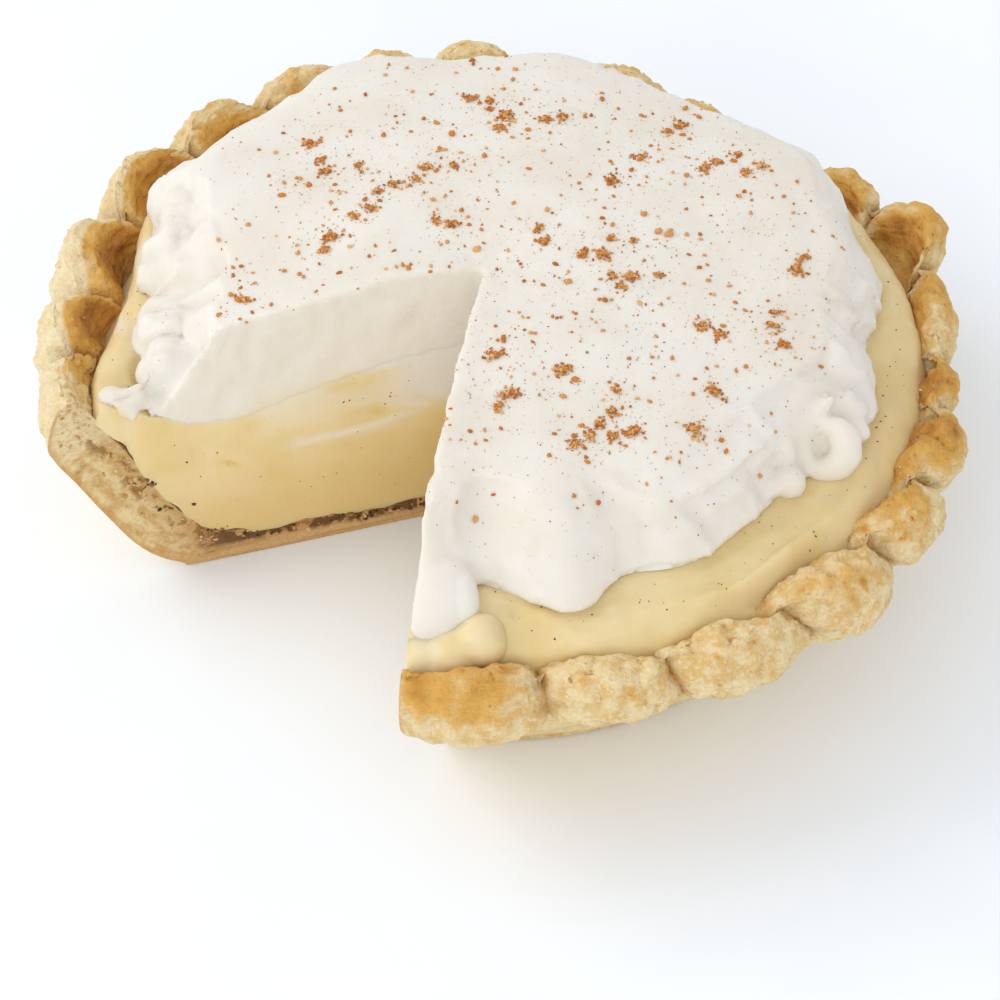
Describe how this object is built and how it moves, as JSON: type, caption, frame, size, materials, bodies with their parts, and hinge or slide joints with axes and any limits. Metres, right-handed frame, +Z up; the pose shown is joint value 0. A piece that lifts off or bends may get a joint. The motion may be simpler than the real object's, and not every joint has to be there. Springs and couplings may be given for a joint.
{
  "type": "cream pie",
  "caption": "Tall custard pie with whipped cream and grated nutmeg in a crimped pastry shell, one slice removed.",
  "frame": {"origin": "middle of the pie's bounding box in plan, on the plane it rests on", "axes": "+Z up through the cream; the missing slice opens between -X and -Y, towards the viewer's left"},
  "size_m": [0.2489, 0.2585, 0.0883],
  "materials": {
    "crust": "dry baked pastry, golden brown on the crimps and pale where it was cut",
    "custard": "soft satin set custard with fine vanilla specks",
    "whipped_cream": "soft satin whipped cream with grated nutmeg fused to its top"
  },
  "bodies": {
    "root": {"crust": "crust", "custard": "custard", "whipped_cream": "whipped_cream"}
  },
  "joints": []
}
